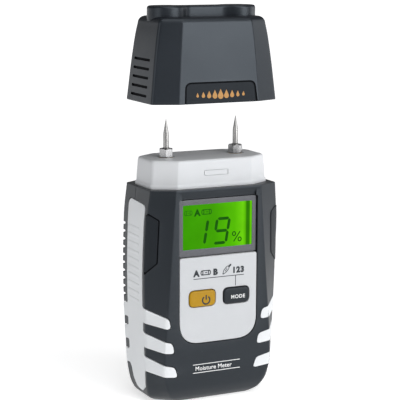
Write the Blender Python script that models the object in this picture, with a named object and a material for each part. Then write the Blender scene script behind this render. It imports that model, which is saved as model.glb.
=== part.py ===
"""Two-pin wood moisture meter with a lift-off protective cap.

Metres, +Z up, front towards -Y, origin at the centre of the base. The meter stands
upright and its cap is held in the lifted place, straight above the pins.
"""

import math

import bmesh
import bpy
from mathutils import Matrix, Vector

# ---- Driving dimensions ---------------------------------------------------
GAP = 0.0003                    # between pieces that touch
WALL = 0.0026                   # housing wall
SEAM_Y = 0.002                  # parting plane of the two housing halves
BODY_TOP = 0.092
REAR_EXTRA = 0.0005             # the rear face stands this much further out than the front

# Height, half width of the front face, front side corner, half width,
# rear side corner, half width of the rear face, depth of the front face.
BODY_STATIONS = (
    (0.0000, 0.0170, 0.0045, 0.0252, 0.0065, 0.0165, 0.0115),
    (0.0025, 0.0205, 0.0066, 0.0281, 0.0090, 0.0190, 0.0143),
    (0.0070, 0.0230, 0.0082, 0.0293, 0.0112, 0.0205, 0.0165),
    (0.0160, 0.0250, 0.0090, 0.0300, 0.0126, 0.0215, 0.0176),
    (0.0570, 0.0223, 0.0104, 0.0313, 0.0132, 0.0215, 0.0176),
    (0.0780, 0.0208, 0.0118, 0.0309, 0.0130, 0.0208, 0.0176),
    (BODY_TOP, 0.0198, 0.0130, 0.0296, 0.0125, 0.0200, 0.0176),
)

RIM_BOTTOM = 0.0900             # underside of the rim that holds the head
HEAD_BOTTOM = 0.0884
HEAD_TOP = 0.1038
HEAD_FLANGE_TOP = 0.0897
HEAD_FLANGE_OUT = 0.0004
HEAD_WALL = 0.0022
# Half width of the front face, side corner, half width, depth.
HEAD_LOW = (0.0174, 0.0084, 0.0274, 0.0141)
HEAD_HIGH = (0.0170, 0.0077, 0.0263, 0.0136)

APERTURE_HALF = 0.0184          # opening for the display window and the control panel
APERTURE_LOW = 0.0259
APERTURE_HIGH = 0.0879
PANEL_TOP = 0.0633
PANEL_CORNER = 0.0095
PANEL_FRONT = -0.0174
WINDOW_FRONT = -0.0165
COVER_BACK = -0.0140
FLANGE_FRONT = -0.0147
FLANGE_OUT = 0.0011

BUTTON_SIZE = (0.0128, 0.0074)
BUTTON_CORNER = 0.0017
BUTTON_FRONT = -0.0181
BUTTON_FLANGE = (-0.0135, -0.0125)
BUTTON_CENTRES = {"power": (-0.0074, 0.0454), "mode": (0.0085, 0.0453)}
STEM_RADIUS = 0.0022
STEM_END = -0.0094

LCD_HALF = 0.0169
LCD_LOW = 0.0648
LCD_HIGH = 0.0866
BOARD_Y = (-0.0072, -0.0056)
BOARD_HALF = 0.0190
BOARD_Z = (0.0140, 0.0870)

PIN_X = 0.0164
PIN_RADIUS = 0.00125
PIN_TIP_RADIUS = 0.00012
PIN_BOTTOM = 0.0962
PIN_TAPER = 0.1140
PIN_TIP = 0.1200
SOCKET_RADIUS = 0.0029
SOCKET_BOTTOM = 0.0955
NUT_ACROSS_FLATS = 0.0055
NUT_HEIGHT = 0.0033

CELL_RADIUS = 0.0051
CELL_LENGTH = 0.0445
CELL_NUB = 0.0012
CELL_PITCH = 0.0114
CELL_Y = 0.0091
TRAY_HALF = 0.0170
TRAY_Y = (0.0016, 0.0152)
TRAY_Z = (0.0185, 0.0692)
TRAY_WALL = 0.0012
SPRING_HEIGHT = 0.0042
SPRING_WIRE = 0.0004
DOOR_HALF = 0.0170
DOOR_Z = (0.0183, 0.0702)
DOOR_Y = (0.0158, 0.0180)

SCREW_PLACES = ((0.0225, 0.0140), (0.0225, 0.0800))
SCREW_SEAT = 0.0060
PILLAR_RADIUS = 0.0034
COUNTERBORE_RADIUS = 0.0024
SCREW_HOLE = 0.0013
BOARD_SCREW_PLACE = (0.0130, 0.0185)

GRIP_DEPTH = 0.0013
GRIP_INNER_X = 0.0208           # the finger tips stop here on the front face
GRIP_TOP = 0.0862
GRIP_BOTTOM = 0.0030
FINGER_ROOTS = (0.0375, 0.0274, 0.0170)
FINGER_HEIGHT = 0.0062
FINGER_TIP = 0.0026
FINGER_DROP = 0.0046

CAP_LIFT = 0.0352               # how far the cap stands above its seat
CAP_SEAT = BODY_TOP + GAP
CAP_BASE = CAP_SEAT + CAP_LIFT
# Height above the cap's rim, half width of the front face, side corner, half width, depth.
CAP_STATIONS = (
    (0.0000, 0.0184, 0.0133, 0.0290, 0.0174),
    (0.0200, 0.0170, 0.0122, 0.0267, 0.0163),
    (0.0325, 0.0158, 0.0111, 0.0246, 0.0153),
    (0.0343, 0.0152, 0.0105, 0.0238, 0.0146),
    (0.0352, 0.0143, 0.0096, 0.0226, 0.0135),
)
CAP_CEILING = 0.0327
CAP_WALL_LOW = 0.00095
CAP_WALL_HIGH = 0.0017
PLATFORM_TOP = 0.0396
BOSS_RADIUS = 0.0082
BOSS_X = 0.0162
BAR_HALF = 0.0045
BAR_FILLET = 0.0060
CONTACT_RADIUS = 0.0020
CAP_BOARD_Z = (0.0309, 0.0321)

FINISHES = {
    # name: (colour, roughness, metallic)
    "dark_plastic": ((0.055, 0.062, 0.074), 0.45, 0.0),
    "white_plastic": ((0.76, 0.77, 0.79), 0.40, 0.0),
    "orange_plastic": ((0.68, 0.34, 0.03), 0.40, 0.0),
    "black_rubber": ((0.03, 0.033, 0.038), 0.60, 0.0),
    "grey_window": ((0.12, 0.12, 0.13), 0.15, 0.0),
    "lcd_green": ((0.10, 0.42, 0.01), 0.25, 0.0),
    "steel": ((0.62, 0.62, 0.61), 0.25, 1.0),
    "brass": ((0.72, 0.52, 0.22), 0.30, 1.0),
    "board_green": ((0.02, 0.14, 0.05), 0.50, 0.0),
    "component_black": ((0.02, 0.02, 0.022), 0.50, 0.0),
    "silicone": ((0.30, 0.31, 0.33), 0.70, 0.0),
    "cell_wrap": ((0.05, 0.12, 0.30), 0.35, 0.0),
}


# ---- Outlines -------------------------------------------------------------
def octagon(front_half, front_corner, side_half, rear_corner, rear_half, front, rear):
    """The eight corners of a section, counter-clockwise seen from above."""
    return [
        Vector((-front_half, -front)),
        Vector((front_half, -front)),
        Vector((side_half, -front_corner)),
        Vector((side_half, rear_corner)),
        Vector((rear_half, rear)),
        Vector((-rear_half, rear)),
        Vector((-side_half, rear_corner)),
        Vector((-side_half, -front_corner)),
    ]


def inset(outline, distance):
    """Move every side of a counter-clockwise outline inwards and join them again."""
    lines = []
    for start, end in zip(outline, outline[1:] + outline[:1]):
        along = (end - start).normalized()
        inward = Vector((-along.y, along.x))
        lines.append((start + inward * distance, along))
    moved = []
    for (base_a, along_a), (base_b, along_b) in zip(lines[-1:] + lines[:-1], lines):
        between = base_b - base_a
        reach = (between.x * along_b.y - between.y * along_b.x) / (along_a.x * along_b.y - along_a.y * along_b.x)
        moved.append(base_a + along_a * reach)
    return moved


def arc(centre, radius, start, end, steps):
    """Points on an arc, angles in degrees, both ends included."""
    points = []
    for step in range(steps + 1):
        angle = math.radians(start + (end - start) * step / steps)
        points.append(Vector((centre[0] + radius * math.cos(angle), centre[1] + radius * math.sin(angle))))
    return points


def rounded_box_outline(low, high, corners, steps=5):
    """A rectangle from low to high whose four corners have the radii given, from the lower left."""
    radius_a, radius_b, radius_c, radius_d = corners
    return (
        arc((low[0] + radius_a, low[1] + radius_a), radius_a, 180, 270, steps)
        + arc((high[0] - radius_b, low[1] + radius_b), radius_b, 270, 360, steps)
        + arc((high[0] - radius_c, high[1] - radius_c), radius_c, 0, 90, steps)
        + arc((low[0] + radius_d, high[1] - radius_d), radius_d, 90, 180, steps)
    )


def body_section(station, distance):
    """The body's section at one height, moved inwards by a distance."""
    height, front_half, front_corner, side_half, rear_corner, rear_half, front = station
    outline = octagon(front_half, front_corner, side_half, rear_corner, rear_half, front, front + REAR_EXTRA)
    return height, inset(outline, distance)


def head_section(sizes, height, distance):
    """The head's section at one height, moved inwards by a distance."""
    front_half, corner, side_half, depth = sizes
    return height, inset(octagon(front_half, corner, side_half, corner, front_half, depth, depth), distance)


def cap_section(station, distance):
    """The cap's section at one height above its rim, moved inwards by a distance."""
    height, front_half, corner, side_half, depth = station
    outline = octagon(front_half, corner, side_half, corner, front_half, depth, depth)
    return CAP_BASE + height, inset(outline, distance)


# ---- Solids ---------------------------------------------------------------
def finish_mesh(name, shape):
    """Close a bmesh off into a named object whose faces point outwards."""
    bmesh.ops.recalc_face_normals(shape, faces=shape.faces)
    mesh = bpy.data.meshes.new(name)
    shape.to_mesh(mesh)
    shape.free()
    part = bpy.data.objects.new(name, mesh)
    bpy.context.scene.collection.objects.link(part)
    return part


def stack_rings(name, rings, split=False):
    """A solid through rings of points that match one to one, closed at both ends.

    Sides that may be twisted are split into flat triangles.
    """
    shape = bmesh.new()
    rows = []
    for ring in rings:
        rows.append([shape.verts.new(point) for point in ring])
    for lower, upper in zip(rows, rows[1:]):
        for index in range(len(lower)):
            following = (index + 1) % len(lower)
            corners = (lower[index], lower[following], upper[following], upper[index])
            if split:
                shape.faces.new((corners[0], corners[1], corners[2]))
                shape.faces.new((corners[0], corners[2], corners[3]))
            else:
                shape.faces.new(corners)
    shape.faces.new(list(reversed(rows[0])))
    shape.faces.new(rows[-1])
    return finish_mesh(name, shape)


def loft(name, sections):
    """A solid through flat sections, each a height and an outline."""
    rings = [[(point.x, point.y, height) for point in outline] for height, outline in sections]
    return stack_rings(name, rings, split=True)


def prism(name, outline, axis, low, high):
    """An outline extruded along X, Y or Z between two planes."""
    placed = {
        "X": lambda point, reach: (reach, point.x, point.y),
        "Y": lambda point, reach: (point.x, reach, point.y),
        "Z": lambda point, reach: (point.x, point.y, reach),
    }[axis]
    return stack_rings(name, [[placed(point, reach) for point in outline] for reach in (low, high)])


def box(name, low, high):
    """A plain box between two corners."""
    outline = [Vector((low[0], low[1])), Vector((high[0], low[1])), Vector((high[0], high[1])),
               Vector((low[0], high[1]))]
    return prism(name, outline, "Z", low[2], high[2])


def turned(name, profile, centre, direction="Z", sides=20):
    """A solid of revolution from (radius, reach) pairs; the first and last rings are closed flat."""
    rings = []
    for radius, reach in profile:
        ring = []
        for side in range(sides):
            angle = math.tau * side / sides
            across = radius * math.cos(angle)
            around = radius * math.sin(angle)
            point = {
                "X": (reach, across, around),
                "Y": (across, reach, around),
                "Z": (across, around, reach),
            }[direction]
            ring.append(Vector(point) + Vector(centre))
        rings.append(ring)
    part = stack_rings(name, rings)
    part.data.shade_smooth()
    part.data.set_sharp_from_angle(angle=math.radians(35))
    return part


def tube(name, outer, inner, low, high, centre, sides=20):
    """An upright sleeve with an open bore."""
    sleeve = turned(name, ((outer, low), (outer, high)), centre, sides=sides)
    reach = GAP * 4
    bore = turned(name + "_bore", ((inner, low - reach), (inner, high + reach)), centre, sides=sides)
    combine(sleeve, bore, "DIFFERENCE")
    return sleeve


def combine(part, other, operation):
    """Join, cut or cross one solid with another and keep only the result."""
    step = part.modifiers.new(operation.lower(), "BOOLEAN")
    step.operation = operation
    step.solver = "EXACT"
    step.object = other
    bpy.context.view_layer.update()
    evaluated = part.evaluated_get(bpy.context.evaluated_depsgraph_get())
    result = bpy.data.meshes.new_from_object(evaluated)
    result.name = part.name
    part.modifiers.clear()
    part.data = result
    bpy.data.objects.remove(other)


def add_finish(part, finish):
    """Give a part one of the plain finishes."""
    material = bpy.data.materials.get(finish)
    if material is None:
        colour, roughness, metallic = FINISHES[finish]
        material = bpy.data.materials.new(finish)
        material.use_nodes = True
        shader = material.node_tree.nodes["Principled BSDF"]
        shader.inputs["Base Color"].default_value = (*colour, 1.0)
        shader.inputs["Roughness"].default_value = roughness
        shader.inputs["Metallic"].default_value = metallic
    part.data.materials.clear()
    part.data.materials.append(material)


def move_origin(part, place):
    """Put a part's origin at a place on its joint's axis without moving the part."""
    part.data.transform(Matrix.Translation(-Vector(place)))
    part.location = place


# ---- Housing --------------------------------------------------------------
def body_solid(name, distance):
    return loft(name, [body_section(station, distance) for station in BODY_STATIONS])


def hollow_out(shell):
    """Cut the room inside the housing, the groove for the head's flange and the head's opening."""
    sections = [body_section(station, WALL) for station in BODY_STATIONS[1:-1]]
    sections.append((RIM_BOTTOM, body_section(BODY_STATIONS[-1], WALL)[1]))
    combine(shell, loft("room", sections), "DIFFERENCE")
    groove_out = -HEAD_FLANGE_OUT - GAP
    groove = [head_section(HEAD_LOW, HEAD_BOTTOM - GAP, groove_out), head_section(HEAD_LOW, RIM_BOTTOM, groove_out)]
    combine(shell, loft("groove", groove), "DIFFERENCE")
    opening = [head_section(HEAD_LOW, RIM_BOTTOM - 0.0010, -GAP), head_section(HEAD_LOW, BODY_TOP + WALL, -GAP)]
    combine(shell, loft("opening", opening), "DIFFERENCE")


def grip_outline(grow):
    """Side outline of a grip in Y and Z: a long back with three fingers on each side."""
    front_edge = -0.0088
    rear_edge = 0.0080
    front_reach = -0.0200
    rear_reach = 0.0200
    points = [Vector((-0.0030 - grow, GRIP_BOTTOM - grow)), Vector((rear_edge + grow, GRIP_BOTTOM - grow))]
    for root in reversed(FINGER_ROOTS):
        points.append(Vector((rear_edge + grow, root - FINGER_HEIGHT / 2 - grow)))
        points.append(Vector((rear_reach, root - FINGER_HEIGHT / 2 - GAP * 4 - grow)))
        points.append(Vector((rear_reach, root + FINGER_HEIGHT / 2 - GAP * 4 + grow)))
        points.append(Vector((rear_edge + grow, root + FINGER_HEIGHT / 2 + grow)))
    points += arc((0.0056, GRIP_TOP - 0.0024), 0.0024 + grow, 0, 90, 4)
    points += arc((-0.0076, GRIP_TOP - 0.0030), 0.0024 + grow, 90, 180, 4)
    points.append(Vector((front_edge - grow, 0.0640)))
    for root in FINGER_ROOTS:
        points.append(Vector((front_edge + 0.0010 - grow, root + FINGER_HEIGHT / 2 + grow)))
        points.append(Vector((front_reach, root - FINGER_DROP + FINGER_TIP / 2 + grow)))
        points.append(Vector((front_reach, root - FINGER_DROP - FINGER_TIP / 2 - grow)))
        points.append(Vector((front_edge + 0.0010 - grow, root - FINGER_HEIGHT / 2 - grow)))
    return points


def grip_prism(name, side, grow):
    """The grip's outline as a block that reaches from the finger tips out past the side."""
    inner = side * (GRIP_INNER_X - grow)
    outer = side * 0.0400
    return prism(name, grip_outline(grow), "X", min(inner, outer), max(inner, outer))


def make_grip(name, side):
    """A soft grip: the body's outer layer inside the grip's outline."""
    grip = body_solid(name, 0.0)
    combine(grip, body_solid(name + "_bed", GRIP_DEPTH), "DIFFERENCE")
    combine(grip, grip_prism(name + "_block", side, 0.0), "INTERSECT")
    add_finish(grip, "white_plastic")
    return grip


def cut_grip_pocket(shell, side):
    """Sink the grip's bed into a housing half."""
    pocket = grip_prism("grip_pocket", side, GAP)
    combine(pocket, body_solid("grip_floor", GRIP_DEPTH + GAP), "DIFFERENCE")
    combine(shell, pocket, "DIFFERENCE")


def housing_half(name, front, pillars):
    """One half of the hollow housing with its screw pillars, up to the parting plane."""
    shell = body_solid(name, 0.0)
    hollow_out(shell)
    for pillar in pillars:
        combine(shell, pillar, "UNION")
    reach = 0.0500
    if front:
        keep = box("keep", (-reach, -reach, -reach), (reach, SEAM_Y - GAP / 2, BODY_TOP + reach))
    else:
        keep = box("keep", (-reach, SEAM_Y + GAP / 2, -reach), (reach, reach, BODY_TOP + reach))
    combine(shell, keep, "INTERSECT")
    return shell


def screw_places():
    for across, height in SCREW_PLACES:
        for side in (-1, 1):
            yield side * across, height


def make_front_shell():
    radius = PILLAR_RADIUS - 0.0008
    pillars = [turned("pillar", ((radius, -0.0130), (radius, SEAM_Y + 0.0020)), (across, 0.0, height), "Y", 16)
               for across, height in screw_places()]
    shell = housing_half("front_shell", True, pillars)
    for across, height in screw_places():
        hole = turned("hole", ((SCREW_HOLE, -0.0075), (SCREW_HOLE, SEAM_Y + GAP)), (across, 0.0, height), "Y", 12)
        combine(shell, hole, "DIFFERENCE")
    post_x, post_z = BOARD_SCREW_PLACE
    for side in (-1, 1):
        post = turned("post", ((0.0024, -0.0155), (0.0024, BOARD_Y[0] - GAP)), (side * post_x, 0.0, post_z), "Y", 16)
        combine(shell, post, "UNION")
        hole = turned("hole", ((0.0011, -0.0125), (0.0011, BOARD_Y[0] + GAP)), (side * post_x, 0.0, post_z), "Y", 12)
        combine(shell, hole, "DIFFERENCE")
    corner = PANEL_CORNER + GAP
    outline = rounded_box_outline((-APERTURE_HALF, APERTURE_LOW), (APERTURE_HALF, APERTURE_HIGH),
                                  (corner, corner, 0.0012, 0.0012))
    combine(shell, prism("aperture", outline, "Y", -0.0200, COVER_BACK + 0.0010), "DIFFERENCE")
    for side in (-1, 1):
        cut_grip_pocket(shell, side)
    add_finish(shell, "dark_plastic")


def make_rear_shell():
    pillars = [turned("pillar", ((PILLAR_RADIUS, SEAM_Y - 0.0020), (PILLAR_RADIUS, 0.0140)), (across, 0.0, height),
                      "Y", 16) for across, height in screw_places()]
    shell = housing_half("rear_shell", False, pillars)
    for across, height in screw_places():
        place = (across, 0.0, height)
        hole = turned("hole", ((SCREW_HOLE, 0.0), (SCREW_HOLE, SCREW_SEAT + GAP)), place, "Y", 12)
        combine(shell, hole, "DIFFERENCE")
        recess = turned("recess", ((COUNTERBORE_RADIUS, SCREW_SEAT), (COUNTERBORE_RADIUS, 0.0200)), place, "Y", 16)
        combine(shell, recess, "DIFFERENCE")
    outline = rounded_box_outline((-DOOR_HALF - GAP, DOOR_Z[0] - GAP), (DOOR_HALF + GAP, DOOR_Z[1] + GAP),
                                  (0.0010,) * 4, 3)
    combine(shell, prism("doorway", outline, "Y", TRAY_Y[1] - 0.0010, 0.0200), "DIFFERENCE")
    for side in (-1, 1):
        cut_grip_pocket(shell, side)
    add_finish(shell, "dark_plastic")


def make_housing_screws():
    for number, (across, height) in enumerate(screw_places(), start=1):
        seat = SCREW_SEAT + GAP
        profile = ((0.00045, -0.0070), (0.0010, -0.0058), (0.0010, seat), (0.0021, seat), (0.0021, seat + 0.0010),
                   (0.0015, seat + 0.0016))
        screw = turned("housing_screw_%d" % number, profile, (across, 0.0, height), "Y", 16)
        add_finish(screw, "steel")


# ---- Head and electrodes --------------------------------------------------
def make_head():
    """The white block that carries the electrodes, hollow from below."""
    flange = head_section(HEAD_LOW, HEAD_BOTTOM, -HEAD_FLANGE_OUT)[1]
    head = loft("head_block", [
        (HEAD_BOTTOM, flange),
        (HEAD_FLANGE_TOP, flange),
        head_section(HEAD_LOW, HEAD_FLANGE_TOP, 0.0),
        head_section(HEAD_LOW, BODY_TOP, 0.0),
        head_section(HEAD_HIGH, HEAD_TOP - 0.0008, 0.0),
        head_section(HEAD_HIGH, HEAD_TOP, 0.0008),
    ])
    ceiling = HEAD_TOP - HEAD_WALL
    room = loft("head_room", [
        head_section(HEAD_LOW, HEAD_BOTTOM - WALL, HEAD_WALL),
        head_section(HEAD_HIGH, ceiling, HEAD_WALL),
    ])
    combine(head, room, "DIFFERENCE")
    for side in (-1, 1):
        boss = turned("boss", ((SOCKET_RADIUS + 0.0018, SOCKET_BOTTOM + 0.0020),
                               (SOCKET_RADIUS + 0.0018, ceiling + 0.0010)), (side * PIN_X, 0.0, 0.0))
        combine(head, boss, "UNION")
        hole = turned("hole", ((SOCKET_RADIUS + GAP, SOCKET_BOTTOM), (SOCKET_RADIUS + GAP, HEAD_TOP + WALL)),
                      (side * PIN_X, 0.0, 0.0))
        combine(head, hole, "DIFFERENCE")
    add_finish(head, "white_plastic")


def make_electrode(side, label):
    """A pointed pin, its hexagon nut, the threaded socket below it and its contact strip."""
    place = (side * PIN_X, 0.0, 0.0)
    socket = tube(label + "_threaded_socket", SOCKET_RADIUS, PIN_RADIUS + GAP, SOCKET_BOTTOM, HEAD_TOP - 0.0001, place)
    add_finish(socket, "brass")
    pin = turned(label + "_electrode_pin", (
        (PIN_RADIUS - 0.0003, PIN_BOTTOM),
        (PIN_RADIUS, PIN_BOTTOM + 0.0004),
        (PIN_RADIUS, PIN_TAPER),
        (PIN_RADIUS * 0.82, PIN_TAPER + 0.0012),
        (PIN_TIP_RADIUS, PIN_TIP),
    ), place)
    add_finish(pin, "steel")
    corner_radius = NUT_ACROSS_FLATS / math.sqrt(3)
    low = HEAD_TOP + GAP
    nut = turned(label + "_hex_nut", (
        (corner_radius, low),
        (corner_radius, low + NUT_HEIGHT - 0.0003),
        (corner_radius - 0.0003, low + NUT_HEIGHT),
    ), place, sides=6)
    bore = turned("bore", ((PIN_RADIUS + GAP, low - GAP), (PIN_RADIUS + GAP, low + NUT_HEIGHT + GAP)), place)
    combine(nut, bore, "DIFFERENCE")
    add_finish(nut, "steel")
    half_width = 0.0015
    strip = 0.0005
    foot = 0.0800
    profile = [Vector((BOARD_Y[1] + GAP, foot)), Vector((strip, foot)), Vector((strip, SOCKET_BOTTOM - GAP)),
               Vector((0.0, SOCKET_BOTTOM - GAP)), Vector((0.0, foot + strip)),
               Vector((BOARD_Y[1] + GAP, foot + strip))]
    lead = prism(label + "_electrode_contact", profile, "X", place[0] - half_width, place[0] + half_width)
    add_finish(lead, "brass")


# ---- Front covers and buttons ---------------------------------------------
def cover_with_flange(name, low, high, corners, front, flange_low, flange_high):
    """A front cover that fills the opening, with a wider flange behind the housing wall."""
    cover = prism(name, rounded_box_outline(low, high, corners), "Y", front, COVER_BACK)
    flange = prism("flange", rounded_box_outline(flange_low, flange_high, corners), "Y", FLANGE_FRONT,
                   COVER_BACK + 0.0001)
    combine(cover, flange, "UNION")
    return cover


def make_display_window():
    half = APERTURE_HALF - GAP
    low = (-half, PANEL_TOP + GAP)
    high = (half, APERTURE_HIGH - GAP)
    small = (0.0009,) * 4
    window = cover_with_flange("display_window", low, high, small, WINDOW_FRONT,
                               (low[0] - FLANGE_OUT, low[1] + 0.0002), (high[0] + FLANGE_OUT, high[1] - 0.0002))
    add_finish(window, "grey_window")


def make_control_panel():
    half = APERTURE_HALF - GAP
    low = (-half, APERTURE_LOW + GAP)
    high = (half, PANEL_TOP)
    corners = (PANEL_CORNER, PANEL_CORNER, 0.0004, 0.0004)
    panel = cover_with_flange("control_panel", low, high, corners, PANEL_FRONT,
                              (low[0] - FLANGE_OUT, low[1] - FLANGE_OUT), (high[0] + FLANGE_OUT, high[1] - 0.0002))
    for centre in BUTTON_CENTRES.values():
        outline = button_outline(centre, GAP)
        combine(panel, prism("button_hole", outline, "Y", -0.0200, COVER_BACK + 0.0010), "DIFFERENCE")
    add_finish(panel, "white_plastic")


def button_outline(centre, grow):
    half_width = BUTTON_SIZE[0] / 2 + grow
    half_height = BUTTON_SIZE[1] / 2 + grow
    return rounded_box_outline((centre[0] - half_width, centre[1] - half_height),
                               (centre[0] + half_width, centre[1] + half_height), (BUTTON_CORNER + grow,) * 4, 3)


def make_button(label, finish):
    """A key with a chamfered face, a flange that stops it and a stem with a carbon pill."""
    centre = BUTTON_CENTRES[label]
    chamfer = 0.0004
    layers = (
        (button_outline(centre, -chamfer), BUTTON_FRONT),
        (button_outline(centre, 0.0), BUTTON_FRONT + chamfer),
        (button_outline(centre, 0.0), BUTTON_FLANGE[0]),
        (button_outline(centre, 0.0008), BUTTON_FLANGE[0]),
        (button_outline(centre, 0.0008), BUTTON_FLANGE[1]),
    )
    button = stack_rings(label + "_button", [[(p.x, reach, p.y) for p in outline] for outline, reach in layers])
    place = (centre[0], 0.0, centre[1])
    stem = turned("stem", ((STEM_RADIUS, BUTTON_FLANGE[1] - 0.0005), (STEM_RADIUS, STEM_END)), place, "Y")
    combine(button, stem, "UNION")
    add_finish(button, finish)
    move_origin(button, (centre[0], BUTTON_FRONT, centre[1]))
    pill = turned(label + "_contact_pill", ((STEM_RADIUS - 0.0003, STEM_END + GAP), (STEM_RADIUS - 0.0003, -0.0083)),
                  place, "Y")
    add_finish(pill, "component_black")
    pill.parent = button
    pill.matrix_parent_inverse = Matrix.Translation(-button.location)


def make_keypad_mat():
    mat = prism("keypad_mat", rounded_box_outline((-0.0160, 0.0395), (0.0160, 0.0515), (0.0015,) * 4, 3), "Y",
                -0.0113, -0.0100)
    for centre in BUTTON_CENTRES.values():
        hole = turned("hole", ((STEM_RADIUS + 0.0005, -0.0120), (STEM_RADIUS + 0.0005, -0.0090)),
                      (centre[0], 0.0, centre[1]), "Y")
        combine(mat, hole, "DIFFERENCE")
    add_finish(mat, "silicone")


# ---- Display stack and circuit board --------------------------------------
def make_display_stack():
    frame_front = COVER_BACK + 0.0004
    glass_back = -0.0117
    frame = box("lcd_frame", (-LCD_HALF - 0.0017, frame_front, LCD_LOW - 0.0014),
                (LCD_HALF + 0.0017, BOARD_Y[0] - GAP, LCD_HIGH + 0.0010))
    room = box("room", (-LCD_HALF - GAP, frame_front - 0.0010, LCD_LOW - GAP),
               (LCD_HALF + GAP, BOARD_Y[0] + 0.0010, LCD_HIGH + GAP))
    combine(frame, room, "DIFFERENCE")
    add_finish(frame, "component_black")
    glass = box("lcd_glass", (-LCD_HALF, frame_front + 0.0001, LCD_LOW), (LCD_HALF, glass_back, LCD_HIGH))
    add_finish(glass, "lcd_green")
    light = box("lcd_backlight", (-LCD_HALF, glass_back + GAP, LCD_LOW + 0.0020), (LCD_HALF, -0.0090, LCD_HIGH))
    add_finish(light, "white_plastic")
    strip = box("lcd_connector_strip", (-LCD_HALF + 0.0020, glass_back + GAP, LCD_LOW),
                (LCD_HALF - 0.0020, BOARD_Y[0] - GAP, LCD_LOW + 0.0016))
    add_finish(strip, "silicone")


def make_circuit_board():
    board = box("main_board", (-BOARD_HALF, BOARD_Y[0], BOARD_Z[0]), (BOARD_HALF, BOARD_Y[1], BOARD_Z[1]))
    post_x, post_z = BOARD_SCREW_PLACE
    head = BOARD_Y[1] + GAP
    for side, label in ((-1, "left"), (1, "right")):
        place = (side * post_x, 0.0, post_z)
        hole = turned("hole", ((0.0011, BOARD_Y[0] - 0.0010), (0.0011, BOARD_Y[1] + 0.0010)), place, "Y", 12)
        combine(board, hole, "DIFFERENCE")
        screw = turned(label + "_board_screw", ((0.0004, -0.0120), (0.0008, -0.0112), (0.0008, head), (0.0018, head),
                                                (0.0018, head + 0.0008), (0.0013, head + 0.0013)), place, "Y", 16)
        add_finish(screw, "steel")
    add_finish(board, "board_green")
    chips = (("microcontroller", 0.0, 0.0450, 0.0050, 0.0012), ("measuring_amplifier", 0.0, 0.0600, 0.0030, 0.0015))
    for name, across, height, half, thickness in chips:
        chip = box(name, (across - half, head, height - half), (across + half, head + thickness, height + half))
        add_finish(chip, "component_black")
    buzzer = turned("buzzer", ((0.0045, head), (0.0045, head + 0.0040), (0.0041, head + 0.0044)),
                    (-0.0070, 0.0, 0.0790), "Y")
    add_finish(buzzer, "component_black")
    capacitor = turned("capacitor", ((0.0025, head), (0.0025, head + 0.0052)), (0.0075, 0.0, 0.0800), "Y", 16)
    add_finish(capacitor, "steel")


# ---- Battery compartment --------------------------------------------------
def make_battery_tray():
    tray = box("battery_tray", (-TRAY_HALF - TRAY_WALL, TRAY_Y[0], TRAY_Z[0] - TRAY_WALL),
               (TRAY_HALF + TRAY_WALL, TRAY_Y[1], TRAY_Z[1] + TRAY_WALL))
    room = box("room", (-TRAY_HALF, TRAY_Y[0] + TRAY_WALL, TRAY_Z[0]), (TRAY_HALF, TRAY_Y[1] + TRAY_WALL, TRAY_Z[1]))
    combine(tray, room, "DIFFERENCE")
    add_finish(tray, "dark_plastic")


def make_spring(name, centre, foot, towards):
    """A conical contact spring: a wire swept along a helix that narrows towards the cell."""
    turns = 3
    steps_per_turn = 12
    wire_sides = 6
    steps = turns * steps_per_turn
    height = SPRING_HEIGHT - 2 * SPRING_WIRE
    rings = []
    for step in range(steps + 1):
        share = step / steps
        angle = math.tau * turns * share
        radius = 0.0038 - 0.0018 * share
        outward = Vector((math.cos(angle), math.sin(angle), 0.0))
        middle = Vector((centre[0], centre[1], foot)) + outward * radius
        middle.z += towards * (SPRING_WIRE + height * share)
        ring = []
        for side in range(wire_sides):
            around = math.tau * side / wire_sides
            ring.append(middle + outward * (SPRING_WIRE * math.cos(around))
                        + Vector((0.0, 0.0, SPRING_WIRE * math.sin(around))))
        rings.append(ring)
    spring = stack_rings(name, rings)
    spring.data.shade_smooth()
    add_finish(spring, "steel")


def make_battery_cells():
    """Three cells side by side, every other one upside down, each between a spring and a plate."""
    plate = 0.0008
    for number, column in enumerate((-1, 0, 1), start=1):
        towards = -1 if column == 0 else 1
        start = TRAY_Z[1] if towards < 0 else TRAY_Z[0]
        centre = (column * CELL_PITCH, CELL_Y, 0.0)
        foot = start + towards * GAP
        make_spring("battery_spring_%d" % number, centre, foot, towards)
        bottom = foot + towards * (SPRING_HEIGHT + GAP)
        shoulder = bottom + towards * (CELL_LENGTH - CELL_NUB)
        tip = bottom + towards * CELL_LENGTH
        cell = turned("battery_cell_%d" % number, (
            (CELL_RADIUS - 0.0004, bottom),
            (CELL_RADIUS, bottom + towards * 0.0004),
            (CELL_RADIUS, shoulder - towards * 0.0004),
            (CELL_RADIUS - 0.0004, shoulder),
            (0.0018, shoulder),
            (0.0018, tip),
        ), centre)
        add_finish(cell, "cell_wrap")
        near = tip + towards * GAP
        far = near + towards * plate
        contact = box("battery_contact_%d" % number,
                      (centre[0] - 0.0040, CELL_Y - 0.0040, min(near, far)),
                      (centre[0] + 0.0040, CELL_Y + 0.0040, max(near, far)))
        add_finish(contact, "steel")


def make_battery_door():
    """A flat door whose rounded upper edge turns about its own axis."""
    half_thickness = (DOOR_Y[1] - DOOR_Y[0]) / 2
    axis_y = DOOR_Y[0] + half_thickness
    axis_z = DOOR_Z[1] - half_thickness
    profile = [Vector((DOOR_Y[0], DOOR_Z[0])), Vector((DOOR_Y[1], DOOR_Z[0]))]
    profile += arc((axis_y, axis_z), half_thickness, 0, 180, 8)
    door = prism("battery_door", profile, "X", -DOOR_HALF, DOOR_HALF)
    add_finish(door, "dark_plastic")
    move_origin(door, (0.0, axis_y, axis_z))


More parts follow.
